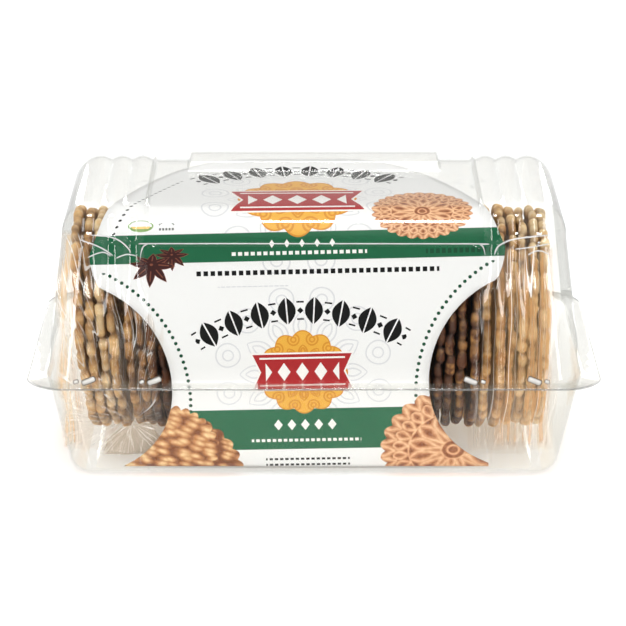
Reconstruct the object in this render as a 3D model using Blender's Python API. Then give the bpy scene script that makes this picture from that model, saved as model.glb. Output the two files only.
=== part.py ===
# A shut clear clamshell pack of pizzelle: a see-through tray and domed lid, a printed card folded
# over the front, and one row of thin lobed wafer cookies standing on edge.
# Units are metres, +Z is up, the long side runs along X and the front faces -Y.
# The origin is on the floor plane, under the middle of the pack's outline.
import random
from math import asin, atan2, cos, pi, radians, sin, sqrt, tan

import bmesh
import bpy
from mathutils import Matrix, Vector

# ---- pack ----
WALL = 0.0006               # thickness of the formed plastic
JOIN_Z = 0.04515            # height of the parting plane between the two flanges
SEAT_GAP = 0.0003           # gap between pieces that rest on each other
TRAY_FLANGE_HALF_X = 0.1191
LID_FLANGE_HALF_X = 0.1184
FLANGE_FRONT_Y = -0.0610
FLANGE_BACK_Y = 0.0589
FLANGE_CORNER = 0.0160
MOUTH_HALF_X = 0.1110       # both shells, where the walls meet the flange
MOUTH_HALF_Y = 0.0524
WALL_CORNER = 0.0120

# ---- tray ----
TRAY_EDGE_Z = 0.0070        # where the walls turn into the bottom
TRAY_FOOT_HALF_X = 0.1035
TRAY_FOOT_HALF_Y = 0.0478
TRAY_RING = 0.0040          # width of the flat ring that the pack stands on
TRAY_PUSH_UP = 0.0052       # the floor inside that ring is raised
TRAY_PUSH_SLOPE = 0.0025

# ---- lid ----
LID_SHOULDER_Z = 0.1020     # where the walls turn into the top
LID_TOP_Z = 0.1170          # over the raised flutes at both ends
LID_TOP_STEP = 0.0018       # the plain middle of the top lies this much lower
LID_TOP_INSET = 0.0120
LID_SHOULDER_HALF_X = 0.1040
LID_SHOULDER_HALF_Y = 0.0438
RIB_HALF_X = 0.0530         # raised stacking rib along the back of the top
RIB_FRONT_Y = 0.0180
RIB_HEIGHT = 0.0036
RIB_SLOPE = 0.0015

# ---- vertical grooves beside the plain front and back panels, as (x, share of the full depth) ----
PANEL_HALF_X = 0.0684
GROOVES = ((0.0697, 1.0), (0.0716, 0.4), (0.0742, 0.0), (0.0768, 0.4), (0.0787, 1.0), (0.0806, 0.4),
           (0.0830, 0.0), (0.0854, 0.4), (0.0874, 1.0), (0.0894, 0.3))
CORNER_STEPS = 5

# ---- living hinge along the back edge ----
HINGE_Y = 0.0601
HINGE_RADIUS = 0.0009
HINGE_HALF_X = 0.0920

# ---- printed card, bent along lines parallel to X ----
CARD_THICKNESS = 0.0004
CARD_SWEEP = 0.1090         # the lower front is an arc of this radius about the hinge
CARD_FOOT_Z = 0.0025
CARD_LEAN = radians(10.5)   # lean of the upper front
CARD_BEND = 0.0140
CARD_TOP_Z = 0.1136
CARD_BACK_Y = 0.0381
CARD_CENTRE_X = -0.0056
CARD_TILT = radians(1.3)    # the card sits a little crooked
WAIST_S = 0.0413            # distance up the sheet to the narrow waist
WINDOW_OFFSET = 0.0996      # round windows that cut into both sides of the front
WINDOW_RADIUS = 0.0465
ARCH_S = 0.0980             # distance up the sheet where the arched top begins
ARCH_HALF = 0.0852
ARCH_LENGTH = 0.0895
ARCH_POWERS = (0.9, 0.32)
TIP_S = 0.0800              # the rounded tips lie between this level and the arch
TIP_SPREAD = 0.0533         # how gently they curve in

# ---- cookies ----
COOKIE_COUNT = 40
COOKIE_RADIUS = 0.0484
COOKIE_THICKNESS = 0.0042
COOKIE_CENTRE = Vector((0.0, 0.0009, 0.0548))
ROW_LEFT_X = -0.0968
ROW_RIGHT_X = 0.0968
LEFT_LEAN = radians(4.6)
RIGHT_LEAN = radians(-0.8)
LEAN_SHARE = 0.55           # share of the row over which the left lean fades away
LOBE_POINTS = 24
LOBE_DEPTH = 0.0011

# ---- folded end of the clear inner wrap ----
FILM_THICKNESS = 0.0003

random.seed(7)


def clear_scene():
    for obj in list(bpy.data.objects):
        bpy.data.objects.remove(obj, do_unlink=True)


def make_material(name, color, roughness, alpha=1.0):
    mat = bpy.data.materials.new(name)
    mat.use_nodes = True
    shader = mat.node_tree.nodes["Principled BSDF"]
    shader.inputs["Base Color"].default_value = (*color, 1.0)
    shader.inputs["Roughness"].default_value = roughness
    shader.inputs["Alpha"].default_value = alpha
    return mat


def make_object(name, bm, mat, smooth_angle=None):
    mesh = bpy.data.meshes.new(name)
    bm.to_mesh(mesh)
    bm.free()
    mesh.materials.append(mat)
    if smooth_angle:
        mesh.shade_smooth()
        mesh.set_sharp_from_angle(angle=smooth_angle)
    obj = bpy.data.objects.new(name, mesh)
    bpy.context.scene.collection.objects.link(obj)
    return obj


def add_thickness(obj, thickness, offset):
    solid = obj.modifiers.new("thickness", "SOLIDIFY")
    solid.thickness = thickness
    solid.offset = offset
    solid.use_even_offset = True
    solid.use_rim = True
    return solid


def skin_rows(bm, rows, closed, flip=False):
    for low, high in zip(rows, rows[1:]):
        count = len(low)
        for i in range(count if closed else count - 1):
            j = (i + 1) % count
            corners = [low[i], low[j], high[j], high[i]]
            bm.faces.new(reversed(corners) if flip else corners)


def chain_stations(half_x, half_y, corner):
    # Stations along the right half of one long side, as (x, y, outward normal, groove share, step share).
    # A level whose straight side is shorter than the grooves' reach has its stations drawn together.
    squeeze = min(1.0, (half_x - corner) / (GROOVES[-1][0] + WALL))
    stations = []
    for x in (0.0, RIB_HALF_X, RIB_HALF_X + RIB_SLOPE, PANEL_HALF_X):
        stations.append((x * squeeze, half_y, (0.0, 1.0), 0.0, 1.0))
    for x, share in GROOVES:
        stations.append((x * squeeze, half_y, (0.0, 1.0), share, share))
    for step in range(CORNER_STEPS + 1):
        turn = 0.5 * pi * step / CORNER_STEPS
        normal = (sin(turn), cos(turn))
        x = half_x - corner + corner * normal[0]
        y = half_y - corner + corner * normal[1]
        stations.append((x, y, normal, 0.0, 0.0))
    return stations


def ring_points(half_x, half_y, corner, z, depth=0.0, lower=0.0, shift_y=0.0):
    # One level of a shell: the front chain from left to right, then the back chain from right to left.
    # depth draws the grooves inwards; lower sinks them and the plain middle between the flutes.
    right = []
    for x, y, normal, groove, step in chain_stations(half_x, half_y, corner):
        inwards = depth * groove
        right.append((x - normal[0] * inwards, y - normal[1] * inwards, z - lower * step))
    half = [(-x, y, level) for x, y, level in reversed(right[1:])] + right
    front = [Vector((x, shift_y - y, level)) for x, y, level in half]
    back = [Vector((x, shift_y + y, level)) for x, y, level in half]
    return front, back


def add_ring(bm, levels):
    front, back = levels
    return [bm.verts.new(p) for p in front + back[::-1]]


def split_ring(ring):
    count = len(ring) // 2
    return ring[:count], ring[count:][::-1]


def flange_level(half_x, z):
    half_y = 0.5 * (FLANGE_BACK_Y - FLANGE_FRONT_Y)
    middle = 0.5 * (FLANGE_BACK_Y + FLANGE_FRONT_Y)
    return ring_points(half_x, half_y, FLANGE_CORNER, z, shift_y=middle)


def make_tray(mat):
    under_flange = JOIN_Z - 0.5 * SEAT_GAP - WALL
    drop = under_flange - TRAY_EDGE_Z

    def wall_level(z, depth):
        share = (under_flange - z) / drop
        half_x = MOUTH_HALF_X + (TRAY_FOOT_HALF_X - MOUTH_HALF_X) * share
        half_y = MOUTH_HALF_Y + (TRAY_FOOT_HALF_Y - MOUTH_HALF_Y) * share
        return ring_points(half_x, half_y, WALL_CORNER, z, depth)

    def bottom_level(turn, depth):
        inset = TRAY_EDGE_Z * (1 - cos(turn))
        z = TRAY_EDGE_Z * (1 - sin(turn))
        return ring_points(TRAY_FOOT_HALF_X - inset, TRAY_FOOT_HALF_Y - inset, WALL_CORNER - inset, z, depth)

    bm = bmesh.new()
    levels = [flange_level(TRAY_FLANGE_HALF_X, under_flange)]
    levels += [wall_level(z, depth) for z, depth in
               ((under_flange, 0.0), (0.028, 0.0), (0.016, 0.0010), (TRAY_EDGE_Z, 0.0020))]
    levels += [bottom_level(radians(turn), depth) for turn, depth in ((45, 0.0016), (90, 0.0012))]
    ring_half_x = TRAY_FOOT_HALF_X - TRAY_EDGE_Z - TRAY_RING
    ring_half_y = TRAY_FOOT_HALF_Y - TRAY_EDGE_Z - TRAY_RING
    levels.append(ring_points(ring_half_x, ring_half_y, 0.0030, 0.0))
    floor_half_x = ring_half_x - TRAY_PUSH_SLOPE
    floor_half_y = ring_half_y - TRAY_PUSH_SLOPE
    levels.append(ring_points(floor_half_x, floor_half_y, 0.0020, TRAY_PUSH_UP))
    rows = [add_ring(bm, level) for level in levels]
    skin_rows(bm, rows, closed=True, flip=True)
    front, back = split_ring(rows[-1])
    skin_rows(bm, [front, back], closed=False, flip=True)
    tray = make_object("tray", bm, mat, radians(35))
    add_thickness(tray, WALL, -1.0)
    return tray


def make_lid(mat):
    over_flange = JOIN_Z + 0.5 * SEAT_GAP + WALL
    rise = LID_SHOULDER_Z - over_flange
    round_height = LID_TOP_Z - LID_SHOULDER_Z

    def wall_level(z, depth):
        share = (z - over_flange) / rise
        half_x = MOUTH_HALF_X + (LID_SHOULDER_HALF_X - MOUTH_HALF_X) * share
        half_y = MOUTH_HALF_Y + (LID_SHOULDER_HALF_Y - MOUTH_HALF_Y) * share
        return ring_points(half_x, half_y, WALL_CORNER, z, depth)

    def top_level(turn, depth, lower):
        inset = LID_TOP_INSET * (1 - cos(turn))
        z = LID_SHOULDER_Z + round_height * sin(turn)
        corner = max(WALL_CORNER - inset, 0.0015)
        return ring_points(LID_SHOULDER_HALF_X - inset, LID_SHOULDER_HALF_Y - inset, corner, z, depth, lower)

    def rib_lift(x, y):
        across = (RIB_HALF_X + RIB_SLOPE - abs(x)) / RIB_SLOPE
        along = (y - RIB_FRONT_Y + RIB_SLOPE) / RIB_SLOPE
        return RIB_HEIGHT * max(0.0, min(1.0, across, along))

    bm = bmesh.new()
    levels = [flange_level(LID_FLANGE_HALF_X, over_flange)]
    levels += [wall_level(z, depth) for z, depth in
               ((over_flange, 0.0), (0.060, 0.0), (0.075, 0.0008), (0.090, 0.0016), (LID_SHOULDER_Z, 0.0020))]
    levels += [top_level(radians(turn), depth, share * LID_TOP_STEP) for turn, depth, share in
               ((30, 0.0017, 0.5), (60, 0.0010, 1.0), (90, 0.0, 1.0))]
    for front, back in levels[-2:]:
        for point in back:
            point.z += rib_lift(point.x, point.y)
    rows = [add_ring(bm, level) for level in levels]
    skin_rows(bm, rows, closed=True)
    front, back = split_ring(rows[-1])
    cap = [front]
    for y in (RIB_FRONT_Y - RIB_SLOPE, RIB_FRONT_Y):
        row = []
        for a, b in zip(front, back):
            share = (y - a.co.y) / (b.co.y - a.co.y)
            level = a.co.z + rib_lift(a.co.x, y)
            row.append(bm.verts.new((a.co.x + (b.co.x - a.co.x) * share, y, level)))
        cap.append(row)
    cap.append(back)
    inner = [row[CORNER_STEPS:-CORNER_STEPS] for row in cap]
    skin_rows(bm, inner, closed=False)
    for end in (cap_end(cap, CORNER_STEPS, 1), cap_end(cap, CORNER_STEPS, -1)):
        bm.faces.new(end)
    for row in cap[1:-1]:
        for vert in row[:CORNER_STEPS] + row[-CORNER_STEPS:]:
            bm.verts.remove(vert)
    bmesh.ops.recalc_face_normals(bm, faces=bm.faces)
    lid = make_object("lid", bm, mat, radians(35))
    add_thickness(lid, WALL, -1.0)
    return lid


def cap_end(cap, steps, side):
    # The flat end of the top, outside the last straight station, as one face.
    front, back = cap[0], cap[-1]
    if side > 0:
        outer = front[-steps - 1:] + back[-steps - 1:][::-1]
        inner = [row[-steps - 1] for row in cap[1:-1]]
        return outer + inner[::-1]
    outer = back[:steps + 1][::-1] + front[:steps + 1]
    inner = [row[steps] for row in cap[1:-1]]
    return outer + inner


def make_hinge(mat):
    bm = bmesh.new()
    turn = Matrix.Translation((0.0, HINGE_Y, JOIN_Z)) @ Matrix.Rotation(radians(90), 4, "Y")
    bmesh.ops.create_cone(bm, cap_ends=True, segments=12, radius1=HINGE_RADIUS, radius2=HINGE_RADIUS,
                          depth=2 * HINGE_HALF_X, matrix=turn)
    return make_object("hinge_fold", bm, mat, radians(40))


def card_path():
    # The bent sheet's mid line in the YZ plane, from the bottom edge up the front and over the top.
    start = -asin((JOIN_Z - CARD_FOOT_Z) / CARD_SWEEP)
    points = []
    for step in range(9):
        angle = start + (CARD_LEAN - start) * step / 8
        points.append((HINGE_Y - CARD_SWEEP * cos(angle), JOIN_Z + CARD_SWEEP * sin(angle)))
    bend_z = CARD_TOP_Z - CARD_BEND
    low_y, low_z = points[-1]
    line_z = bend_z + CARD_BEND * sin(CARD_LEAN)
    line_y = low_y + (line_z - low_z) * tan(CARD_LEAN)
    for step in range(1, 6):
        share = step / 5
        points.append((low_y + (line_y - low_y) * share, low_z + (line_z - low_z) * share))
    bend_y = line_y + CARD_BEND * cos(CARD_LEAN)
    for step in range(1, 8):
        angle = CARD_LEAN + (0.5 * pi - CARD_LEAN) * step / 7
        points.append((bend_y - CARD_BEND * cos(angle), bend_z + CARD_BEND * sin(angle)))
    points.append((CARD_BACK_Y, CARD_TOP_Z))
    return points


def path_lengths(points):
    lengths = [0.0]
    for (y0, z0), (y1, z1) in zip(points, points[1:]):
        lengths.append(lengths[-1] + sqrt((y1 - y0) ** 2 + (z1 - z0) ** 2))
    return lengths


def point_on_path(points, lengths, s):
    for i in range(len(points) - 1):
        if s <= lengths[i + 1] or i == len(points) - 2:
            share = (s - lengths[i]) / (lengths[i + 1] - lengths[i])
            y = points[i][0] + (points[i + 1][0] - points[i][0]) * share
            z = points[i][1] + (points[i + 1][1] - points[i][1]) * share
            return y, z


def card_half_width(s):
    # Half width of the flat blank at a distance s from its bottom edge.
    window = WINDOW_RADIUS ** 2 - (s - WAIST_S) ** 2
    width = WINDOW_OFFSET - (sqrt(window) if window > 0.0 else 0.0)
    if s > ARCH_S:
        share = min(1.0, (s - ARCH_S) / ARCH_LENGTH)
        return ARCH_HALF * (1 - share ** ARCH_POWERS[0]) ** ARCH_POWERS[1]
    if s > TIP_S:
        return min(width, ARCH_HALF - (ARCH_S - s) ** 2 / TIP_SPREAD)
    return width


def card_edge_x(s, side):
    # The blank is turned by CARD_TILT about its waist, so the edge at a level is found step by step.
    across = card_half_width(s)
    for _ in range(12):
        along = ((s - WAIST_S) - side * across * sin(CARD_TILT)) / cos(CARD_TILT)
        target = card_half_width(min(max(along + WAIST_S, 0.0), ARCH_S + 0.985 * ARCH_LENGTH))
        across += 0.5 * (target - across)
    return CARD_CENTRE_X + side * across * cos(CARD_TILT) - along * sin(CARD_TILT)


def make_card(mat):
    points = card_path()
    lengths = path_lengths(points)
    levels = set(round(length, 6) for length in lengths[:-1])
    levels.update(round(lengths[-1] * step / 46, 6) for step in range(47))
    kept = []
    for s in sorted(levels):
        if not kept or s - kept[-1] > 0.0012:
            kept.append(s)
    bm = bmesh.new()
    left, right = [], []
    for s in kept:
        y, z = point_on_path(points, lengths, s)
        left.append(bm.verts.new((card_edge_x(s, -1), y, z)))
        right.append(bm.verts.new((card_edge_x(s, 1), y, z)))
    for i in range(len(kept) - 1):
        bm.faces.new((left[i], right[i], right[i + 1], left[i + 1]))
    card = make_object("card", bm, mat, radians(35))
    add_thickness(card, CARD_THICKNESS, 0.0)
    return card


def make_cookie(index, mat):
    share = index / (COOKIE_COUNT - 1)
    fade = max(0.0, 1.0 - share / LEAN_SHARE)
    lean = LEFT_LEAN * fade + RIGHT_LEAN * (1 - fade)
    radius = COOKIE_RADIUS - 0.0004 * random.random()
    thickness = COOKIE_THICKNESS - 0.0002 * random.random()
    turn = 2 * pi * random.random()
    x = ROW_LEFT_X + (ROW_RIGHT_X - ROW_LEFT_X) * share
    bm = bmesh.new()
    stand = Matrix.Rotation(radians(90), 4, "Y") @ Matrix.Rotation(turn, 4, "Z")
    bmesh.ops.create_cone(bm, cap_ends=True, segments=LOBE_POINTS, radius1=radius, radius2=radius,
                          depth=thickness)
    for vert in bm.verts:
        angle = atan2(vert.co.y, vert.co.x)
        notch = 0.5 - 0.5 * cos(angle * LOBE_POINTS / 2)
        pull = 1.0 - notch * LOBE_DEPTH / radius
        vert.co.x *= pull
        vert.co.y *= pull
    place = Matrix.Translation(COOKIE_CENTRE + Vector((x, 0.0, 0.0))) @ Matrix.Rotation(-lean, 4, "Y")
    bmesh.ops.transform(bm, matrix=place @ stand, verts=bm.verts)
    return make_object(f"cookie_{index + 1:02d}", bm, mat)


def make_film(mat):
    # A crumpled flap of clear wrap between the cookies and the lower left of the front wall.
    outline = ((-0.0866, 0.0155, 0.0006), (-0.0893, 0.0072, 0.0), (-0.0700, 0.0072, 0.0012),
               (-0.0635, 0.0150, 0.0), (-0.0688, 0.0243, 0.0008), (-0.0808, 0.0215, 0.0))
    bm = bmesh.new()

    def lean_y(z, push):
        return -0.0370 - 0.34 * z + push

    rim = [bm.verts.new((x, lean_y(z, push), z)) for x, z, push in outline]
    peak = bm.verts.new((-0.0762, lean_y(0.0150, -0.0008), 0.0150))
    for a, b in zip(rim, rim[1:] + rim[:1]):
        bm.faces.new((peak, a, b))
    bmesh.ops.recalc_face_normals(bm, faces=bm.faces)
    film = make_object("film_flap", bm, mat)
    add_thickness(film, FILM_THICKNESS, 0.0)
    return film


def main():
    clear_scene()
    clear_plastic = make_material("clear_plastic", (0.90, 0.93, 0.92), 0.06, 0.25)
    film_plastic = make_material("clear_film", (0.92, 0.92, 0.90), 0.20, 0.35)
    card_stock = make_material("printed_card", (0.86, 0.86, 0.84), 0.35)
    baked_wafer = make_material("baked_wafer", (0.62, 0.38, 0.17), 0.75)
    make_tray(clear_plastic)
    make_lid(clear_plastic)
    make_hinge(clear_plastic)
    make_card(card_stock)
    make_film(film_plastic)
    for index in range(COOKIE_COUNT):
        make_cookie(index, baked_wafer)


main()
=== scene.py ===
import random
from functools import partialmethod
from math import asin, atan2, cos, pi, radians, sin, sqrt, tan

import bmesh
import bpy
import numpy as np
from mathutils import Matrix, Vector


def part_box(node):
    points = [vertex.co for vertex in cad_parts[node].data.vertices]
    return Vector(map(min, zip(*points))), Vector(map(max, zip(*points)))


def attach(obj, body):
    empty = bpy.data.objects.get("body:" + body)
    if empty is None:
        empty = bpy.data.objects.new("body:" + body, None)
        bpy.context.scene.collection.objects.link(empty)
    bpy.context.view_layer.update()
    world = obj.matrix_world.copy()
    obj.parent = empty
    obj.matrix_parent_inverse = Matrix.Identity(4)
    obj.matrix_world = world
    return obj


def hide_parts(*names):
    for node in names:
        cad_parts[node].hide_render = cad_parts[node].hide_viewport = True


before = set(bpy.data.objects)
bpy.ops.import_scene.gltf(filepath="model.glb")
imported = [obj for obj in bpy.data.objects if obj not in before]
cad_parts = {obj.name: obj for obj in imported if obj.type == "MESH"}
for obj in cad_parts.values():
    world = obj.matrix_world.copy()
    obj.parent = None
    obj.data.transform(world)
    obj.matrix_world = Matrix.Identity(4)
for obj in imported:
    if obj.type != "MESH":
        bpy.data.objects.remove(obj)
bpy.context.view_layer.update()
print("frame loaded:", len(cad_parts), "nodes")


white = (1.0, 1.0, 1.0)


# small helpers

def smooth(share):
    share = max(0.0, min(1.0, share))
    return share * share * (3 - 2 * share)


def tone(red, green, blue):
    # a screen colour, 0 to 255, as the linear colour that a shader takes
    shares = (red / 255, green / 255, blue / 255)
    return tuple(((c + 0.055) / 1.055) ** 2.4 if c > 10 / 255 else c / 12.92 for c in shares)


def newMaterial(name):
    material = bpy.data.materials.new(name)
    material.use_nodes = True
    return material, material.node_tree, material.node_tree.nodes["Principled BSDF"]


def addNode(tree, kind, inputs=(), **settings):
    node = tree.nodes.new("ShaderNode" + kind)
    for key, value in settings.items():
        setattr(node, key, value)
    feed(tree, node, inputs)
    return node


class Value:
    # a node's output that can be added, multiplied and compared like a number

    def __init__(self, tree, socket):
        self.tree, self.socket = tree, socket

    def math(self, operation, *values):
        return addMath(self.tree, operation, self, *values)

    def clamped(self):
        self.socket.node.use_clamp = True
        return self

    __abs__ = partialmethod(math, "ABSOLUTE")
    __add__ = partialmethod(math, "ADD")
    __sub__ = partialmethod(math, "SUBTRACT")
    __mul__ = partialmethod(math, "MULTIPLY")
    __truediv__ = partialmethod(math, "DIVIDE")
    __pow__ = partialmethod(math, "POWER")
    __lt__ = partialmethod(math, "LESS_THAN")
    __gt__ = partialmethod(math, "GREATER_THAN")
    __and__ = partialmethod(math, "MULTIPLY")     # both masks
    __or__ = partialmethod(math, "MAXIMUM")     # either mask


def feed(tree, node, inputs):
    # an input takes a number, a colour or another node's output
    for name, value in dict(inputs).items():
        socket = node.inputs[name]
        value = value.socket if isinstance(value, Value) else value
        if isinstance(value, bpy.types.NodeSocket):
            tree.links.new(value, socket)
        elif isinstance(value, tuple) and socket.type == "RGBA":
            socket.default_value = (*value[:3], 1.0)
        else:
            socket.default_value = value


def addMath(tree, operation, *values):
    node = addNode(tree, "Math", dict(enumerate(values)), operation=operation)
    return Value(tree, node.outputs[0])


def addMix(tree, share, first, second):
    return addNode(tree, "Mix", {0: share, 6: first, 7: second}, data_type="RGBA").outputs[2]


def addShaderMix(tree, share, first, second):
    return addNode(tree, "MixShader", {0: share, 1: first, 2: second}).outputs[0]


def addRamp(tree, value, stops):
    ramp = addNode(tree, "ValToRGB", {"Fac": value})
    elements = ramp.color_ramp.elements
    while len(elements) < len(stops):
        elements.new(0.5)
    for element, (place, colour) in zip(elements, stops):
        element.position = place
        element.color = (*colour, 1.0)
    return ramp.outputs[0]


def objectPlace(tree, scale=(1.0, 1.0, 1.0)):
    source = addNode(tree, "TexCoord")
    return addNode(tree, "Mapping", {"Vector": source.outputs["Object"], "Scale": scale}).outputs[0]


def addNoise(tree, place, scale, detail=2.0, roughness=0.5):
    inputs = {"Vector": place, "Scale": scale, "Detail": detail, "Roughness": roughness}
    return Value(tree, addNode(tree, "TexNoise", inputs).outputs[0])


def addAttribute(tree, name):
    return Value(tree, addNode(tree, "Attribute", attribute_name=name).outputs["Fac"])


def addSlant(tree):
    # 0 where the surface faces the eye, 1 at its outline
    return Value(tree, addNode(tree, "LayerWeight", {"Blend": 0.5}).outputs["Facing"])


def addBump(tree, height, strength, distance):
    return addNode(tree, "Bump", {"Height": height, "Strength": strength, "Distance": distance}).outputs[0]


def addSurface(tree, kind, inputs):
    return addNode(tree, "Bsdf" + kind, inputs).outputs[0]


def linkObject(name, data):
    item = bpy.data.objects.new(name, data)
    bpy.context.scene.collection.objects.link(item)
    return item


def meshFrom(name, bm):
    mesh = bpy.data.meshes.new(name)
    bm.to_mesh(mesh)
    bm.free()
    return mesh


def makePiece(name, mesh, materials, body, replaced=(), sharp=None):
    if isinstance(mesh, bmesh.types.BMesh):
        mesh = meshFrom(name, mesh)
    for material in materials:
        mesh.materials.append(material)
    mesh.shade_smooth()
    if sharp:
        mesh.set_sharp_from_angle(angle=radians(sharp))
    piece = linkObject(name, mesh)
    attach(piece, body)
    if replaced:
        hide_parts(*replaced)
    return piece


def addWall(piece, thickness, offset, innerSlot=0, rimSlot=0):
    wall = piece.modifiers.new("wall", "SOLIDIFY")
    wall.thickness = thickness
    wall.offset = offset
    wall.use_even_offset = True
    wall.material_offset = innerSlot
    wall.material_offset_rim = rimSlot
    return wall


def setLoops(bm, name, places):
    layer = bm.loops.layers.uv.new(name)
    for face in bm.faces:
        for loop in face.loops:
            loop[layer].uv = places[loop.vert]


def setAttribute(mesh, name, values):
    attribute = mesh.attributes.new(name, "FLOAT", "POINT")
    attribute.data.foreach_set("value", values.astype(np.float32))


def extrudeRow(bm, verts, edges, places):
    # one extrusion of a row's edges, with its points moved to the next row's places
    made = bmesh.ops.extrude_edge_only(bm, edges=edges)["geom"]
    fresh = {item for item in made if isinstance(item, bmesh.types.BMVert)}
    edges = [item for item in made if isinstance(item, bmesh.types.BMEdge) and fresh.issuperset(item.verts)]
    raised = []
    for vert, place in zip(verts, places):
        copy = next(e.other_vert(vert) for e in vert.link_edges if e.other_vert(vert) in fresh)
        copy.co = place
        raised.append(copy)
    return raised, edges


def loftRows(bm, rows, closed):
    # the first row is drawn as edges, then each further row is one extrusion moved to its place
    verts = [bm.verts.new(place) for place in rows[0]]
    ends = verts[1:] + verts[:1] if closed else verts[1:]
    edges = [bm.edges.new(pair) for pair in zip(verts, ends)]
    grid = [verts]
    for row in rows[1:]:
        verts, edges = extrudeRow(bm, verts, edges, row)
        grid.append(verts)
    return grid


def faceOutward(bm):
    # an open shell's normals agree after the recalculation, and its lowest or highest face says which way
    bmesh.ops.recalc_face_normals(bm, faces=bm.faces)
    middle = sum((v.co for v in bm.verts), Vector()) / len(bm.verts)
    farthest = max(bm.faces, key=lambda f: abs(f.calc_center_median().x - middle.x))
    if farthest.normal.dot(farthest.calc_center_median() - middle) < 0:
        bmesh.ops.reverse_faces(bm, faces=bm.faces)


# the camera stands in front, looking 20 degrees down

cameraSetup = {"aim": (-0.0004, 0.0, 0.0564), "distance": 1.1665, "elevation": 20.0, "lens": 156.4}


def makeCamera():
    data = bpy.data.cameras.new("camera")
    data.lens = cameraSetup["lens"]
    data.clip_start = 0.05
    camera = linkObject("camera", data)
    tilt = radians(cameraSetup["elevation"])
    back = Vector((0.0, -cos(tilt), sin(tilt)))
    camera.location = Vector(cameraSetup["aim"]) + back * cameraSetup["distance"]
    camera.rotation_euler = (pi / 2 - tilt, 0.0, 0.0)
    bpy.context.scene.camera = camera


# clear formed plastic: it lets light straight through, mirrors more at a slant and greys at its edges

plasticLook = {"clear": tone(253, 253, 252), "edge": tone(198, 199, 196), "faceShare": 0.030,
               "roughness": 0.03, "waviness": 0.12, "milk": tone(240, 234, 226), "haze": 0.0}
trayLook = {**plasticLook, "clear": tone(255, 255, 254), "edge": tone(232, 232, 229), "faceShare": 0.010,
            "milk": tone(248, 240, 228), "haze": 0.02}
milkyAndGlintLooks = {
    # colour in the middle and at the edge, cover, and how fast it falls to the edge
    "cutPlastic": (tone(150, 151, 149), tone(96, 97, 96), 0.50, 1.3),
    # the lugs: a painted highlight in the middle, painted shade at the edge
    "lugGlintPlastic": (tone(250, 248, 244), tone(78, 66, 54), 0.85, 0.65),
    # the lid's white lines: a painted highlight, with painted shade at the edge
    "glintLinePlastic": (tone(250, 250, 250), tone(112, 108, 102), 0.50, 1.3),
}


def makeClearPlastic(name, look):
    material, tree, shader = newMaterial(name)
    tree.nodes.remove(shader)
    slant = addSlant(tree)
    mirrored = slant ** 7.0 * (1 - look["faceShare"]) + look["faceShare"]
    drawn = addNoise(tree, objectPlace(tree, (1.0, 1.0, 0.12)), 160.0, 3.0)
    tint = addMix(tree, slant ** 6.0, look["clear"], look["edge"])
    through = addSurface(tree, "Transparent", {"Color": tint})
    gloss = addSurface(tree, "Glossy", {"Color": white, "Roughness": look["roughness"],
                                        "Normal": addBump(tree, drawn, look["waviness"], 0.0006)})
    both = addShaderMix(tree, mirrored, through, gloss)
    if look["haze"]:
        both = addShaderMix(tree, look["haze"], both, addSurface(tree, "Diffuse", {"Color": look["milk"]}))
    feed(tree, tree.nodes["Material Output"], {"Surface": both})
    return material


# both shells are rings of the same kind: a plain middle, flutes beside it and rounded corners

shellShape = {
    "wall": 0.0006, "cornerRadius": 0.0120, "cornerSteps": 12, "leastCorner": 0.0015,
    "flangeCorner": 0.0160, "flangeRim": (0.0003, 0.0006), "mouth": (0.1110, 0.0524),
    "mouthTurn": ((-0.0010, 0.0), (-0.0003, 0.0003), (0.0, 0.0010)),     # (inset, height) steps
    "panelMiddle": (0.0, 0.014, 0.028, 0.042), "panelHalf": 0.0684,
    "panelSide": (0.0590, 0.0620, 0.0640, 0.0655, 0.0666, 0.0675, 0.0684, 0.0690),
    "fluteStart": 0.0697, "flutePitch": 0.00885, "flutesEnd": 0.0894, "fluteStep": 0.0008,
    "fluteSink": 0.75, "ribHalf": 0.0530, "ribSlope": 0.0015, "ribEdge": 0.0008,
}
trayLow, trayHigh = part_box("tray")
lidLow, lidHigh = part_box("lid")
backEdge = lidHigh.y


def fluteShare(x):
    # 1 in a groove between two flutes, 0 on a flute's back
    past = abs(x) - shellShape["fluteStart"]
    pitch = shellShape["flutePitch"]
    if past < 0:
        return smooth(1 + past / (shellShape["fluteStart"] - shellShape["panelHalf"]))
    return 1 - abs(sin(pi * past / pitch)) if past < 2.5 * pitch else 0.0


def halfStations(halfX, halfY, corner):
    # the right half of a long side as (x, y, outward normal, groove share, sink share)
    shape = shellShape
    straightEnd = halfX - corner
    squeeze = min(1.0, straightEnd / (shape["flutesEnd"] + shape["wall"]))
    rib, slope, edge = shape["ribHalf"], shape["ribSlope"], shape["ribEdge"]
    places = [*shape["panelMiddle"], rib - edge, rib, rib + slope / 3, rib + 2 * slope / 3, rib + slope,
              rib + slope + edge, *shape["panelSide"]]
    x = shape["fluteStart"]
    while x < shape["flutesEnd"]:
        places.append(x)
        x += shape["fluteStep"]
    places = [x * squeeze for x in places]
    places += [places[-1] + (straightEnd - places[-1]) * share for share in (1 / 3, 2 / 3)]
    stations = []
    for x in places:
        groove = fluteShare(x / squeeze)
        sink = 1.0 if x / squeeze < shape["panelHalf"] else shape["fluteSink"] * groove
        stations.append((x, halfY, (0.0, 1.0), groove, sink))
    for step in range(shape["cornerSteps"] + 1):
        turn = 0.5 * pi * step / shape["cornerSteps"]
        normal = (sin(turn), cos(turn))
        y = halfY - corner + corner * normal[1]
        stations.append((straightEnd + corner * normal[0], y, normal, 0.0, 0.0))
    return stations


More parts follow.
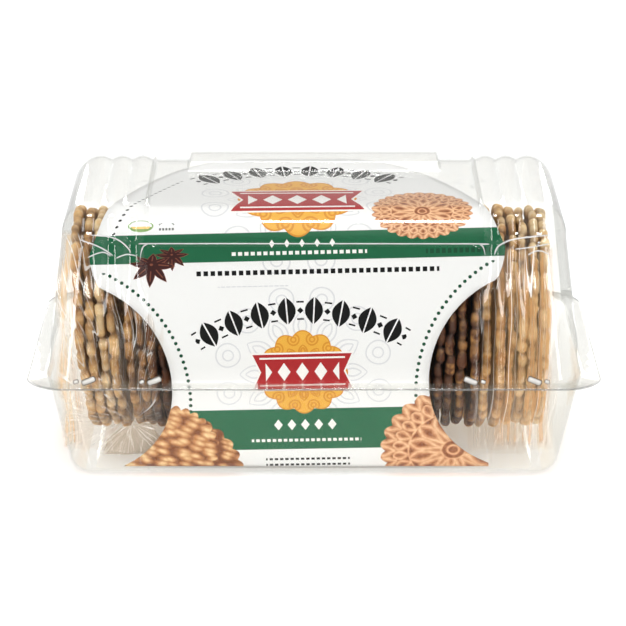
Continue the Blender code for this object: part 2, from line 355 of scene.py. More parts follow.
def ringRow(halves, corner, z, inset=0.0, depth=0.0, sink=0.0, shiftY=0.0, press=None, lift=None):
    # one level of a shell, front from left to right, then back from right to left
    half = []
    corner = max(corner - inset, shellShape["leastCorner"])
    for x, y, normal, groove, step in halfStations(halves[0] - inset, halves[1] - inset, corner):
        inward = depth * groove + (press(x, z) * smooth((normal[1] - 0.1) / 0.7) if press else 0.0)
        half.append((x - normal[0] * inward, y - normal[1] * inward, z - sink * step))
    front = [Vector((-x, shiftY - y, level)) for x, y, level in reversed(half[1:])]
    front += [Vector((x, shiftY - y, level)) for x, y, level in half]
    back = [Vector((p.x, 2 * shiftY - p.y, p.z)) for p in reversed(front)]
    if lift:
        for place in back:
            place.z += lift(place)
    return front + back


def between(first, second, share):
    return [a + (b - a) * share for a, b in zip(first, second)]


def mouthRows(halfX, frontY, z, side):
    # the flange and the round turn into the wall, which goes up a lid (1) or down a tray (-1)
    shape = shellShape
    flange = ((halfX, 0.5 * (backEdge - frontY)), shape["flangeCorner"])
    middleY = 0.5 * (backEdge + frontY)
    drop, bevel = shape["flangeRim"]
    rows = [ringRow(*flange, z - side * drop, shiftY=middleY), ringRow(*flange, z, bevel, shiftY=middleY)]
    for inset, rise in shape["mouthTurn"]:
        rows.append(ringRow(shape["mouth"], shape["cornerRadius"], z + side * rise, inset))
    return rows


def makeShell(name, node, rows, closeEnd, plastic, cut):
    bm = bmesh.new()
    grid = loftRows(bm, rows, closed=True)
    closeEnd(bm, grid[-1])
    faceOutward(bm)
    shell = makePiece(name, bm, [plastic, cut], node, [node], 40)
    addWall(shell, shellShape["wall"], -1.0, rimSlot=1)
    print(node, "done")


# the tray

trayShape = {
    "edgeZ": 0.0070, "foot": (0.1035, 0.0478), "ring": 0.0040, "grooveTop": 0.0280, "grooveDepth": 0.0020,
    "levels": 16, "turns": range(18, 91, 18), "footGroove": 0.6,
    # the raised floor: (inset, corner radius, height)
    "floor": ((0.0, 0.0030, 0.0), (0.0004, 0.0032, 0.0006), (0.0020, 0.0044, 0.0045),
              (0.0025, 0.0045, 0.0052)),
}


def closeFloor(bm, ring):
    bmesh.ops.contextual_create(bm, geom=ring)


def makeTray(plastic, cut):
    shape = trayShape
    under = trayHigh.z - shellShape["wall"]
    foot, edgeZ, grooveTop = shape["foot"], shape["edgeZ"], shape["grooveTop"]
    corner = shellShape["cornerRadius"]
    rows = mouthRows(trayHigh.x, trayLow.y, under, -1)
    top = under - shellShape["mouthTurn"][-1][1]
    for level in range(1, shape["levels"] + 1):
        z = top + (edgeZ - top) * level / shape["levels"]
        halves = between(shellShape["mouth"], foot, (under - z) / (under - edgeZ))
        depth = shape["grooveDepth"] * smooth((grooveTop - z) / (grooveTop - edgeZ))
        rows.append(ringRow(halves, corner, z, depth=depth))
    for turn in shape["turns"]:
        inset, rise = edgeZ * (1 - cos(radians(turn))), edgeZ * (1 - sin(radians(turn)))
        depth = shape["grooveDepth"] * (1 + (shape["footGroove"] - 1) * turn / 90)
        rows.append(ringRow(foot, corner, rise, inset, depth))
    inner = [half - edgeZ - shape["ring"] for half in foot]
    rows += [ringRow(inner, radius, z, inset) for inset, radius, z in shape["floor"]]
    makeShell("trayShell", "tray", rows, closeFloor, plastic, cut)


# the lid

lidShape = {
    "shoulderZ": 0.1020, "shoulder": (0.1040, 0.0438), "topZ": 0.1170, "topInset": 0.0120,
    "topSink": 0.0018, "sinkTurn": 60, "grooveDepth": 0.0020, "grooveFoot": 0.0540,
    "ribFront": 0.0180, "ribHeight": 0.0036, "ribTurns": (36, 27),
    "panelTop": 0.1016, "panelFoot": 0.085, "panelCorner": 0.0045, "panelStep": 0.0007, "stepEdge": 0.0007,
    "domeTop": 0.1000, "domeRise": 0.0026, "domeStep": 0.0009, "ledgeZ": 0.1062, "ledgeDrop": 0.0062,
    "ledgeBend": (0.0775, 0.0055), "ledgeStep": 0.0007, "fadeZ": 0.1140, "fadeSpan": 0.006,
    "levels": (0.0485, 0.0530, 0.0560, 0.0600, 0.0650, 0.0700, 0.0750, 0.0800, 0.0850, 0.0900, 0.0935,
               0.0955, *(0.0965 + 0.0003 * step for step in range(19))),
    "turns": (1, *range(2, 23, 2), 25, *range(30, 91, 6)),
}


def pressIn(x, z):
    # the plain panel and the domed flute ends stand proud, with a ledge above them
    shape = lidShape
    edge, span = shape["stepEdge"], shape["fadeSpan"]
    side = abs(x)
    fade = smooth((shape["fadeZ"] - z) / span)
    if side < shellShape["fluteStart"]:
        corner = shape["panelCorner"]
        across = side - (shellShape["fluteStart"] - corner)
        up = z - (shape["panelTop"] - corner)
        outside = sqrt(max(across, 0.0) ** 2 + max(up, 0.0) ** 2) + min(max(across, up), 0.0) - corner
        step = shape["panelStep"] * smooth(0.5 + outside / edge)
        return fade * step * smooth((z - shape["panelFoot"]) / span)
    half = 0.5 * shellShape["flutePitch"]
    along = ((side - shellShape["fluteStart"]) % (2 * half) - half) / half
    dome = shape["domeTop"] + shape["domeRise"] * sqrt(max(0.0, 1 - along * along))
    bend, bendSpan = shape["ledgeBend"]
    ledge = shape["ledgeZ"] - shape["ledgeDrop"] * smooth((bend - side) / bendSpan)
    return fade * (shape["domeStep"] * smooth(0.5 + (z - dome) / edge)
                   + shape["ledgeStep"] * smooth(0.5 + (z - max(ledge, dome)) / edge))


def ribLift(x, y):
    slope = shellShape["ribSlope"]
    across = (shellShape["ribHalf"] + slope - abs(x)) / slope
    along = (y - lidShape["ribFront"] + slope) / slope
    return lidShape["ribHeight"] * min(smooth(across), smooth(along))


def makeLid(plastic, cut):
    shape = lidShape
    over = lidLow.z + shellShape["wall"]
    shoulder, shoulderZ, grooveFoot = shape["shoulder"], shape["shoulderZ"], shape["grooveFoot"]
    corner = shellShape["cornerRadius"]
    rows = mouthRows(lidHigh.x, lidLow.y, over, 1)
    for z in shape["levels"]:
        halves = between(shellShape["mouth"], shoulder, (z - over) / (shoulderZ - over))
        depth = shape["grooveDepth"] * smooth((z - grooveFoot) / (shoulderZ - grooveFoot))
        rows.append(ringRow(halves, corner, z, depth=depth, press=pressIn))
    for turn in shape["turns"]:
        inset = shape["topInset"] * (1 - cos(radians(turn)))
        z = shoulderZ + (shape["topZ"] - shoulderZ) * sin(radians(turn))
        depth = shape["grooveDepth"] * cos(radians(turn))
        sink = shape["topSink"] * min(1.0, turn / shape["sinkTurn"])
        ribShare = smooth((turn - shape["ribTurns"][0]) / shape["ribTurns"][1])
        rows.append(ringRow(shoulder, corner, z, inset, depth, sink, press=pressIn,
                            lift=lambda p, s=ribShare: s * ribLift(p.x, p.y)))
    makeShell("lidShell", "lid", rows, closeTop, plastic, cut)


def closeTop(bm, ring):
    # rows run from the front edge to the back edge of the top, and a flat face closes each end
    count = len(ring) // 2
    skip = shellShape["cornerSteps"]
    front = ring[:count][skip:-skip]
    back = ring[count:][::-1][skip:-skip]
    slope = shellShape["ribSlope"]
    ribFront = lidShape["ribFront"]
    start = front[0].co.y
    lines = [start + (ribFront - slope - start) * share for share in (0.25, 0.5, 0.75, 1.0)]
    lines += [ribFront - slope * share for share in (0.75, 0.5, 0.25, 0.0)]
    lines += [ribFront + (back[0].co.y - ribFront) * 0.5, back[0].co.y]
    edges = [bm.edges.get(pair) for pair in zip(front, front[1:])]
    flat = [vert.co.copy() for vert in front]
    verts = front
    for y in lines:
        verts, edges = extrudeRow(bm, verts, edges, [(p.x, y, p.z + ribLift(p.x, y)) for p in flat])
    for vert, place in zip(verts, back):
        vert.co = place.co
    bmesh.ops.remove_doubles(bm, verts=verts + back, dist=1e-6)
    shoulderZ = lidShape["shoulderZ"]
    topEdges = [e for e in bm.edges if e.is_boundary and min(v.co.z for v in e.verts) > shoulderZ]
    bmesh.ops.holes_fill(bm, edges=topEdges, sides=0)


# snap lugs moulded on the lid's flange, in front of the wall; their white is a painted highlight and their
# brown edges painted shade, and the smaller bar beside each stands where a second small glint shows

lugShape = {"places": (-0.0927, -0.0656, 0.0644, 0.0907), "y": -0.0550, "z": 0.0467, "tilt": 22.0,
            "bar": (0.0062, 0.0024, 0.0026), "small": (0.0024, 0.0020, 0.0018), "gap": 0.0052,
            "round": 0.4, "dip": 0.07}


def makeLugs(material):
    shape = lugShape
    bm = bmesh.new()
    for x in shape["places"]:
        side = 1 if x > 0 else -1
        for size, shift in ((shape["bar"], 0.0), (shape["small"], shape["gap"])):
            made = bmesh.ops.create_cube(bm, size=1.0)["verts"]
            bmesh.ops.scale(bm, vec=size, verts=made)
            edges = list({edge for vert in made for edge in vert.link_edges})
            rounded = bmesh.ops.bevel(bm, geom=edges, offset=min(size) * shape["round"], affect="EDGES",
                                      segments=3, profile=0.5, material=-1)
            verts = {v for face in rounded["faces"] for v in face.verts} | {v for v in made if v.is_valid}
            turn = Matrix.Rotation(radians(side * shape["tilt"]), 4, "Y")
            place = Matrix.Translation((x + side * shift, shape["y"], shape["z"] - shape["dip"] * shift))
            bmesh.ops.transform(bm, matrix=place @ turn, verts=list(verts))
    bmesh.ops.recalc_face_normals(bm, faces=bm.faces)
    makePiece("lidLugs", bm, [material], "lid", sharp=50)
    print("lugs done")


# where the lid's white lines of painted highlight run
glintLineShape = {
    "sides": 8, "proud": 0.0001, "flat": 0.5, "tip": 0.15, "tipShare": 1 / 8, "lines": (
        # radius in millimetres, then (x, z) points in millimetres along the lid's front
        (0.36, ((-92.0, 106.0), (-85.6, 105.6), (-82.4, 105.0), (-79.1, 103.5), (-76.3, 101.0),
                (-74.7, 98.8))),
        (0.34, ((-95.5, 104.0), (-90.6, 102.3), (-85.7, 100.0), (-81.9, 97.3))),
        (0.32, ((-80.9, 96.3), (-78.8, 97.3), (-75.9, 98.0), (-72.5, 97.3))),
        (0.32, ((-92.5, 96.6), (-89.0, 98.2), (-85.7, 98.8), (-82.8, 97.2))),
        (0.30, ((-71.1, 95.5), (-70.4, 99.6), (-69.6, 101.2), (-68.0, 102.2), (-66.1, 102.4), (0.0, 102.4),
                (66.0, 102.3), (67.9, 101.9), (69.2, 100.6), (70.0, 97.3))),
        (0.40, ((73.7, 97.8), (74.5, 100.2), (76.0, 101.9), (80.6, 104.0), (88.0, 105.2), (97.0, 106.1))),
        (0.30, ((82.0, 100.1), (89.0, 101.0), (96.3, 102.4))),
        (0.34, ((87.2, 97.6), (90.2, 99.2), (93.2, 99.3), (96.3, 97.6))),
    ),
}


def lidFrontY(z):
    # the front of the lid at one height: a straight leaning wall, then the rounded edge of the top
    shape = lidShape
    halfY = shape["shoulder"][1]
    share = (z - lidLow.z) / (shape["shoulderZ"] - lidLow.z)
    if share < 1:
        return -(shellShape["mouth"][1] + (halfY - shellShape["mouth"][1]) * share)
    turn = asin(min(1.0, (z - shape["shoulderZ"]) / (shape["topZ"] - shape["shoulderZ"])))
    return -(halfY - shape["topInset"] * (1 - cos(turn)))


def smoothPath(points, steps=8):
    # a curve through the points, with more points on it
    ends = [points[0], *points, points[-1]]
    path = []
    for first, start, end, last in zip(ends, ends[1:], ends[2:], ends[3:]):
        for step in range(steps):
            t = step / steps
            square = 2 * first - 5 * start + 4 * end - last
            cube = 3 * start - first - 3 * end + last
            path.append(0.5 * (2 * start + (end - first) * t + square * t * t + cube * t ** 3))
    return path + [points[-1]]


def makeGlintLines(material):
    # painted highlights: white lines laid round the flute ends and along the top of the plain panel, where
    # the light glints on the lid
    shape = glintLineShape
    bm = bmesh.new()
    for radius, points in shape["lines"]:
        path = smoothPath([Vector((x / 1000, 0.0, z / 1000)) for x, z in points])
        path = [Vector((p.x, lidFrontY(p.z) + shape["proud"], p.z)) for p in path]
        rows = []
        for index, place in enumerate(path):
            along = (path[min(index + 1, len(path) - 1)] - path[max(index - 1, 0)]).normalized()
            side = along.cross(Vector((0.0, 1.0, 0.0))).normalized()
            share = index / (len(path) - 1)
            taper = min(1.0, share / shape["tipShare"], (1 - share) / shape["tipShare"])
            size = radius / 1000 * (shape["tip"] + (1 - shape["tip"]) * taper)
            across, out = side * size, along.cross(side) * size * shape["flat"]
            turns = [2 * pi * step / shape["sides"] for step in range(shape["sides"])]
            rows.append([place + across * cos(turn) + out * sin(turn) for turn in turns])
        grid = loftRows(bm, rows, closed=True)
        for end in (grid[0], grid[-1]):
            bmesh.ops.contextual_create(bm, geom=end)
    bmesh.ops.recalc_face_normals(bm, faces=bm.faces)
    makePiece("lidGlintLines", bm, [material], "lid")
    print("beads done")


def makeMilkyAndGlintPlastic(name):
    # the sheet's cut rim turns milky, with grey edges; the lugs and the lid's white lines take the same kind
    # of colour as a painted highlight, white where they face the eye, with painted shade at their edges
    material, tree, shader = newMaterial(name)
    middle, edge, cover, falloff = milkyAndGlintLooks[name]
    cloud = addNoise(tree, objectPlace(tree), 700.0, 3.0)
    share = (addSlant(tree) ** falloff * (cloud + 0.9)).clamped()
    feed(tree, shader, {"Base Color": addMix(tree, share, middle, edge), "Roughness": 0.12, "Alpha": cover})
    return material


# the printed card, cut from a flat sheet and bent round the front and over the top

cardShape = {
    "thickness": 0.0004, "sweep": 0.1090, "hingeY": 0.0601, "hingeZ": 0.04515, "lean": 10.5, "bend": 0.0140,
    "centreX": -0.0056, "tilt": 1.3, "waist": 0.0413, "windowOffset": 0.0996, "windowRadius": 0.0465,
    "archStart": 0.0980, "archHalf": 0.0852, "archLength": 0.0895, "archPowers": (0.9, 0.32),
    "tipStart": 0.0800, "tipSpread": 0.0533, "rows": 120, "columns": 30, "wallSteps": 40, "bendSteps": 24,
    "leastStep": 2e-4,
}
cardLow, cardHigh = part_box("card")


def cardPath():
    # the sheet's middle line as (y, z) points, from the bottom edge to the back of the top
    shape = cardShape
    sweep = shape["sweep"]
    footZ = cardLow.z
    topZ = cardHigh.z - 0.5 * shape["thickness"]
    lean = radians(shape["lean"])
    start = -asin((shape["hingeZ"] - footZ) / sweep)
    points = []
    for step in range(shape["wallSteps"] + 1):
        angle = start + (lean - start) * step / shape["wallSteps"]
        points.append((shape["hingeY"] - sweep * cos(angle), shape["hingeZ"] + sweep * sin(angle)))
    bendZ = topZ - shape["bend"]
    lineZ = bendZ + shape["bend"] * sin(lean)
    lineY = points[-1][0] + (lineZ - points[-1][1]) * tan(lean)
    bendY = lineY + shape["bend"] * cos(lean)
    for step in range(shape["bendSteps"] + 1):
        angle = lean + (0.5 * pi - lean) * step / shape["bendSteps"]
        points.append((bendY - shape["bend"] * cos(angle), bendZ + shape["bend"] * sin(angle)))
    points.append((cardHigh.y, topZ))
    return np.array(points)


def cardHalf(s):
    # half width of the flat blank at a distance s from its bottom edge
    shape = cardShape
    window = shape["windowRadius"] ** 2 - (s - shape["waist"]) ** 2
    width = shape["windowOffset"] - (sqrt(window) if window > 0 else 0.0)
    if s > shape["archStart"]:
        share = min(1.0, (s - shape["archStart"]) / shape["archLength"])
        return shape["archHalf"] * (1 - share ** shape["archPowers"][0]) ** shape["archPowers"][1]
    if s > shape["tipStart"]:
        return min(width, shape["archHalf"] - (shape["archStart"] - s) ** 2 / shape["tipSpread"])
    return width


def cardEdge(s, side):
    # the blank sits turned by a small tilt, so its edge at one level is found step by step
    shape = cardShape
    tilt = radians(shape["tilt"])
    across = cardHalf(s)
    for _ in range(14):
        along = ((s - shape["waist"]) - side * across * sin(tilt)) / cos(tilt)
        inside = min(max(along + shape["waist"], 0.0), shape["archStart"] + 0.985 * shape["archLength"])
        across += 0.5 * (cardHalf(inside) - across)
    return shape["centreX"] + side * across * cos(tilt) - along * sin(tilt)


def makeCard(printed, board):
    shape = cardShape
    tilt = radians(shape["tilt"])
    path = cardPath()
    lengths = np.concatenate([[0.0], np.cumsum(np.hypot(*np.diff(path, axis=0).T))])
    bend = lengths[shape["wallSteps"]:][:shape["bendSteps"] + 2]
    levels = sorted({*np.linspace(0.0, lengths[-1], shape["rows"]).tolist(), *bend.tolist()})
    levels = [s for i, s in enumerate(levels) if i == 0 or s - levels[i - 1] > shape["leastStep"]]
    rows = []
    flat = []
    for s in levels:
        y, z = (float(np.interp(s, lengths, path[:, axis])) for axis in (0, 1))
        left, right = cardEdge(s, -1), cardEdge(s, 1)
        rows.append([])
        for column in range(shape["columns"] + 1):
            x = left + (right - left) * column / shape["columns"]
            rows[-1].append(Vector((x, y, z)))
            offX, offS = x - shape["centreX"], s - shape["waist"]
            flat.append((1000 * (offX * cos(tilt) + offS * sin(tilt)),
                         1000 * (offS * cos(tilt) - offX * sin(tilt) + shape["waist"])))
    bm = bmesh.new()
    grid = loftRows(bm, rows, closed=False)
    # each point's place on the flat blank, in millimetres
    setLoops(bm, "sheet", dict(zip([vert for row in grid for vert in row], flat)))
    bmesh.ops.recalc_face_normals(bm, faces=bm.faces)
    if min(bm.faces, key=lambda f: f.calc_center_median().y).normal.y > 0:
        bmesh.ops.reverse_faces(bm, faces=bm.faces)
    card = makePiece("printedCard", bm, [printed, board], "lid", ["card"], 50)
    addWall(card, shape["thickness"], 0.0, innerSlot=1)
    print("card done")


inks = {name: tone(*levels) for name, levels in {
    "paper": (248, 248, 249), "shadow": (218, 219, 224), "shade": (110, 112, 112), "black": (5, 5, 6),
    "lowGreen": (18, 108, 72), "highGreen": (14, 100, 64), "deepGreen": (10, 74, 48), "leaf": (134, 170, 96),
    "gold": (240, 180, 66), "goldLine": (222, 148, 44), "goldPale": (252, 212, 128), "red": (178, 34, 38),
    "white": (252, 250, 248), "spice": (58, 20, 18), "spiceLight": (134, 72, 52), "wafer": (210, 144, 100),
    "waferDark": (142, 78, 44), "waferPale": (250, 206, 162), "crust": (206, 142, 90),
    "crustDark": (134, 76, 42), "crustPale": (250, 214, 160)}.items()}


class SheetPrint:
    # shapes on the flat blank, as shader nodes: places and sizes are millimetres across and along it

    def __init__(self, tree):
        self.tree = tree
        self.place = addNode(tree, "UVMap", uv_map="sheet").outputs[0]
        split = addNode(tree, "SeparateXYZ", {0: self.place})
        self.u, self.v = (Value(tree, socket) for socket in split.outputs[:2])
        self.colour = inks["paper"]

    def paint(self, mask, ink):
        self.colour = addMix(self.tree, mask, self.colour, inks[ink] if isinstance(ink, str) else ink)

    def box(self, u, v, halfU, halfV):
        return (abs(self.u - u) < halfU) & (abs(self.v - v) < halfV)

    def polar(self, u, v, size=None, above=1.0, below=1.0):
        # distance, as a share of the size if one is given, and turn about a place
        # the parts above and below it may be stretched to look tipped back
        du, up = self.u - u, self.v - v
        dv = up * below
        if above != below:
            dv = up.math("MAXIMUM", 0.0) * (above - below) + dv
        far = self.length(du, dv)
        return far / size if size else far, dv.math("ARCTAN2", du)

    def length(self, across, along):
        return (across * across + along * along).math("SQRT")

    def lobes(self, turn, count, shift=0.0):
        # 1 on the middle of each of count lobes round a circle, 0 between them
        return abs((turn * (count / 2) + shift).math("SINE"))

    def line(self, value, target, half):
        return value.math("COMPARE", target, half)

    def repeat(self, value, pitch, shift=0.0):
        # distance from the nearest of a row of points
        return ((value * (1 / pitch) + (0.5 + shift)).math("FRACT") - 0.5) * pitch

    def level(self, low, high):
        return abs(self.v - 0.5 * (low + high)) < 0.5 * (high - low)

    def band(self, middle, half, ink):
        self.paint(self.level(middle - half, middle + half), ink)

    def dots(self, u, v, radius, count, low, high):
        # a dotted arc, between two levels
        far, turn = self.polar(u, v)
        near = self.length(self.repeat(turn * radius, 2 * pi * radius / count), far - radius) < 0.74
        self.paint(near & self.level(low, high), "deepGreen")

    def archDots(self, radius, pitch, low, high):
        # dots along the left of the arch
        along = (self.v * 0.00195 + 0.0671) * self.v - 104.2
        far = self.length((self.u - along) * 0.868, self.repeat(self.v, pitch) * 1.152)
        self.paint((far < radius) & self.level(low, high), "black")

    def oval(self, u, v, size):
        # a small leaf-green oval with a pale top and a bar
        far = self.polar(u, v, None, 2.1, 2.1)[0]
        self.paint(far < size, "leaf")
        self.paint((far < size - 0.6) & (self.v > v - 0.4), "paper")
        self.paint((far < size - 1.3) & self.box(u, v - 0.7, 4.0, 0.5), "goldPale")

    def ring(self, u, v, size):
        far = self.polar(u, v, None, 1.5, 1.5)[0]
        self.paint(self.line(far, size, 0.25) & (self.v > v + 0.4), "shade")

    def dashes(self, left, right, v, half, pitch, ink, share=0.32):
        middle = 0.5 * (left + right)
        short = abs(self.repeat(self.u, pitch)) < pitch * share
        self.paint(short & self.box(middle, v, right - middle, half), ink)

    def diamonds(self, left, right, v, half, pitch, ink):
        middle = 0.5 * (left + right)
        inside = abs(self.repeat(self.u - middle, pitch)) * 1.5 + abs(self.v - v) < half
        self.paint(inside & (abs(self.u - middle) < right - middle), ink)

    def garland(self, u, v, radius, half, width, pitch, reach):
        # black leaves with small beads between them, along an arc
        far, turn = self.polar(u, v)
        along = (turn - pi / 2) * radius
        up = far - radius
        near = abs(along) < reach
        leafX = abs(self.repeat(along, pitch, 0.5))
        leaf = leafX < up * up * (-width / half ** 2) + width
        self.paint(near & leaf & (leafX > width * 0.08), "black")
        beadX = abs(self.repeat(along, pitch))
        bead = beadX + abs(up) < width * 0.36
        stem = self.line(abs(up), half * 0.62, half * 0.06) & (beadX < pitch * 0.13)
        self.paint(near & (bead | stem), "black")

    def lace(self, share, turn, half):
        # fine lines: a ringed circle in each of twelve lobes, petals inside them and a hub
        ring = self.length(self.repeat(turn, 2 * pi / 12, 0.5) * 0.80, share - 0.80)
        mask = self.line(ring, 0.125, half) | self.line(ring, 0.055, half) | self.line(share, 0.16, half)
        for first, last, wide in ((0.22, 0.66, 0.36), (0.36, 0.60, 0.16)):
            mask |= self.petalLines(share, turn, 12, first, last, wide, 2 * half) > 0.4
        return mask

    def faintLace(self, u, v, size):
        self.paint(self.lace(*self.polar(u, v, size), 0.0075) * 0.75, "shadow")

    def medallion(self, u, v, size):
        # a scalloped gold disc with lace lines
        share, turn = self.polar(u, v, size)
        outline = self.lobes(turn, 12, 0.5 * pi) * 0.11 + 0.88
        self.paint(share < outline, "goldLine")
        disc = share < outline - 0.03
        self.paint(disc, "gold")
        self.paint(disc & self.lace(share, turn, 0.018), "goldLine")

    def ribbon(self, u, v, halfU, halfV):
        # a plain red ribbon with notched ends and a row of white lozenges
        across, up = abs(self.u - u), abs(self.v - v)
        for grow, ink in ((0.035, "white"), (0.0, "red")):
            limit = up * 0.45 + (halfU * (1 + grow) - 0.45 * halfV)
            self.paint((across < limit) & (up < halfV + grow * halfU), ink)
        for row in (-0.78, 0.78):
            self.paint(self.line(self.v, v + row * halfV, 0.05 * halfV) & (across < halfU * 0.86), "white")
        self.diamonds(u - 0.74 * halfU, u + 0.74 * halfU, v, 0.52 * halfV, 0.37 * halfU, "white")

    def star(self, u, v, size, first):
        # a dried spice star: eight pointed pods with pale edges and a seed in each
        share, turn = self.polar(u, v, size, 2.2)
        across = abs(self.repeat(turn - radians(first), 2 * pi / 8)) * share
        inside = (share ** 0.8 * pi).math("SINE") * 0.20 - across
        near = share < 1.0
        self.paint(near & (inside > 0.0), "spiceLight")
        self.paint(near & (inside > 0.028), "spice")
        seed = (across < 0.022) & self.line(share, 0.52, 0.22)
        self.paint(seed | (share < 0.07), "spiceLight")

    def petalLines(self, share, turn, count, first, last, wide, half, shift=0.0):
        # outlines of petals that stand round a hub, as a ridge of light with a soft edge
        sector = 2 * pi / count
        aside = abs(self.repeat(turn * (1 / sector) + shift, 1.0))
        span = (share * (1 / (last - first)) - first / (last - first)).clamped()
        edge = (span ** 1.3 * pi).math("SINE") * wide
        ridge = (abs(aside - edge) * sector * share * (-1 / half) + 1.0).clamped()
        return ridge & self.line(share, 0.5 * (first + last), 0.5 * (last - first))

    def rosette(self, u, v, size, above, below):
        # a pictured round wafer: raised loops round a ringed hub, more loops between them, lobes on the rim
        share, turn = self.polar(u, v, size, above, below)
        height = self.petalLines(share, turn, 13, 0.17, 0.62, 0.42, 0.072)
        height |= self.petalLines(share, turn, 26, 0.62, 0.84, 0.38, 0.058, 0.5)
        height |= self.petalLines(share, turn, 26, 0.80, 1.08, 0.36, 0.072)
        for ring, half in ((0.08, 0.030), (0.17, 0.030), (0.62, 0.025)):
            height |= (abs(share - ring) * (-1 / half) + 1.0).clamped()
        shade = height * 0.76 + (addNoise(self.tree, self.place, 0.35, 3.0) * 0.9 - 0.38)
        self.paint(share < self.lobes(turn, 26) * 0.07 + 0.94, self.baked(shade, "wafer"))

    def heap(self, u, v, size, front=None):
        # pictured wafers seen from their lumpy edges, darker where another one stands in front
        far, turn = self.polar(u, v)
        place = addNode(self.tree, "Mapping", {"Vector": self.place, "Rotation": (0.0, 0.0, -0.45),
                                               "Scale": (5.4, 2.9, 1.0)}, vector_type="TEXTURE")
        cells = addNode(self.tree, "TexVoronoi", {"Vector": place.outputs[0], "Scale": 1.0},
                        voronoi_dimensions="2D")
        shade = Value(self.tree, cells.outputs["Distance"]) * -1.2 + 0.95
        shade += addNoise(self.tree, self.place, 0.22, 3.0) - 0.5
        if front:
            near = self.polar(front[0], front[1])[0]
            shade += (near * (-1 / 5.0) + (1 + front[2] / 5.0)).clamped() * -0.7
        self.paint(far < self.lobes(turn, 30) * 1.8 + (size - 0.9), self.baked(shade, "crust"))

    def baked(self, shade, ink):
        stops = ((0.0, inks[ink + "Dark"]), (0.42, inks[ink]), (0.90, inks[ink + "Pale"]))
        return addRamp(self.tree, shade, stops)


cardPrint = {
    # what is printed, from the lowest layer up, with each thing's place and sizes
    SheetPrint.faintLace: ((1.4, 46.5, 40.0), (0.6, 128.0, 44.0)),
    SheetPrint.band: ((20.2, 10.2, "lowGreen"), (99.8, 5.9, "highGreen")),
    SheetPrint.dots: ((-106.8, 35.7, 61.1, 136, 30.0, 90.4), (110.7, 36.9, 63.0, 139, 31.0, 92.2)),
    SheetPrint.archDots: ((0.60, 2.80, 105.6, 154.0),),
    SheetPrint.heap: ((-58.0, -2.0, 32.3, (-56.0, 12.0, 20.5)), (-56.0, 12.0, 20.5)),
    SheetPrint.rosette: ((63.3, 8.1, 30.4, 1.0, 1.0), (51.7, 113.9, 20.7, 0.94, 1.69)),
    SheetPrint.medallion: ((1.4, 46.5, 18.6), (0.6, 128.2, 25.0)),
    SheetPrint.ribbon: ((1.0, 47.2, 20.5, 7.6), (0.6, 127.4, 27.5, 11.5)),
    SheetPrint.garland: ((0.7, -8.4, 81.5, 5.8, 3.7, 11.2, 45.6), (1.0, 98.0, 69.5, 7.8, 3.8, 11.2, 45.6)),
    SheetPrint.diamonds: ((-11.4, 14.6, 22.7, 2.7, 5.6, "white"), (-13.5, 17.6, 101.0, 1.7, 6.2, "white")),
    SheetPrint.dashes: (
        (-21.0, 24.8, 14.8, 0.75, 2.3, "white"), (-27.5, 28.6, 97.1, 0.75, 2.6, "white"),
        (-42.5, 58.1, 89.2, 1.0, 2.9, "black"), (-33.0, -4.0, 83.5, 0.2, 2.2, "shadow", 0.4),
        (52.7, 79.3, 96.6, 1.0, 2.4, "deepGreen"), (-15.4, 19.9, 4.4, 0.6, 2.2, "black"),
        (-15.4, 19.9, 1.1, 0.6, 2.2, "black"), (-56.4, -50.0, 107.9, 0.5, 1.3, "shade"),
    ),
    SheetPrint.star: ((-51.4, 97.5, 7.0, 0.0), (-59.9, 93.6, 9.8, 39.0)),
    SheetPrint.oval: ((-63.8, 109.4, 5.2),),
    SheetPrint.ring: ((-53.2, 109.2, 3.0),),
}


def makePrintedCard():
    material, tree, shader = newMaterial("printedCard")
    page = SheetPrint(tree)
    for draw, places in cardPrint.items():
        for values in places:
            draw(page, *values)
    fibre = addNoise(tree, objectPlace(tree), 1500.0, 3.0)
    feed(tree, shader, {"Base Color": page.colour, "Roughness": 0.50, "Specular IOR Level": 0.25,
                        "Normal": addBump(tree, fibre, 0.05, 0.0001)})
    return material


def makeBoard():
    material, tree, shader = newMaterial("plainBoard")
    fibre = addNoise(tree, objectPlace(tree), 900.0, 5.0, 0.6)
    feed(tree, shader, {"Base Color": addMix(tree, fibre, tone(214, 210, 202), tone(236, 233, 226)),
                        "Roughness": 0.85, "Normal": addBump(tree, fibre, 0.15, 0.0002)})
    return material


# the wafer cookies

cookieShape = {
    "count": 40, "radius": 0.0480, "segments": (256, 288), "fineRows": 42, "faceEnd": 0.0455,
    "webHalf": 0.00090, "ridgeHalf": 0.00170,
    "rimHalf": 0.00205, "rimRound": 0.0020, "limitHalf": 0.00218, "lobeShift": 0.00085,
    "lobeDepth": 0.0028, "lobeStart": 0.0390,
    "groups": (4, 5, 3, 5, 4, 6, 3, 3, 2, 5), "groupPitch": 0.00462, "turnWalk": 0.30, "turnLimit": 1.6,
    "coarseRows": (0.0, 0.012, 0.024, 0.031, 0.0355, 0.0385, 0.0405, 0.0422, 0.0436, 0.0448),
    # the card's painted shadow on the cookies near its window edges: where it ends and how fast it fades,
    # how deep the front rims take it, and its base and front shares; the side share makes the left end
    # darker
    "cardShadeEnd": 0.088, "cardShadeSpan": 0.030, "cardShadeDepth": 0.028, "leftDarkening": 1.1,
    "cardShadeBase": 0.15, "cardShadeFront": 0.95, "webShade": 0.35,
    "toastSpread": 0.40, "warp": 0.00035, "leftLean": 4.6, "rightLean": -0.8, "leanShare": 0.55,
}
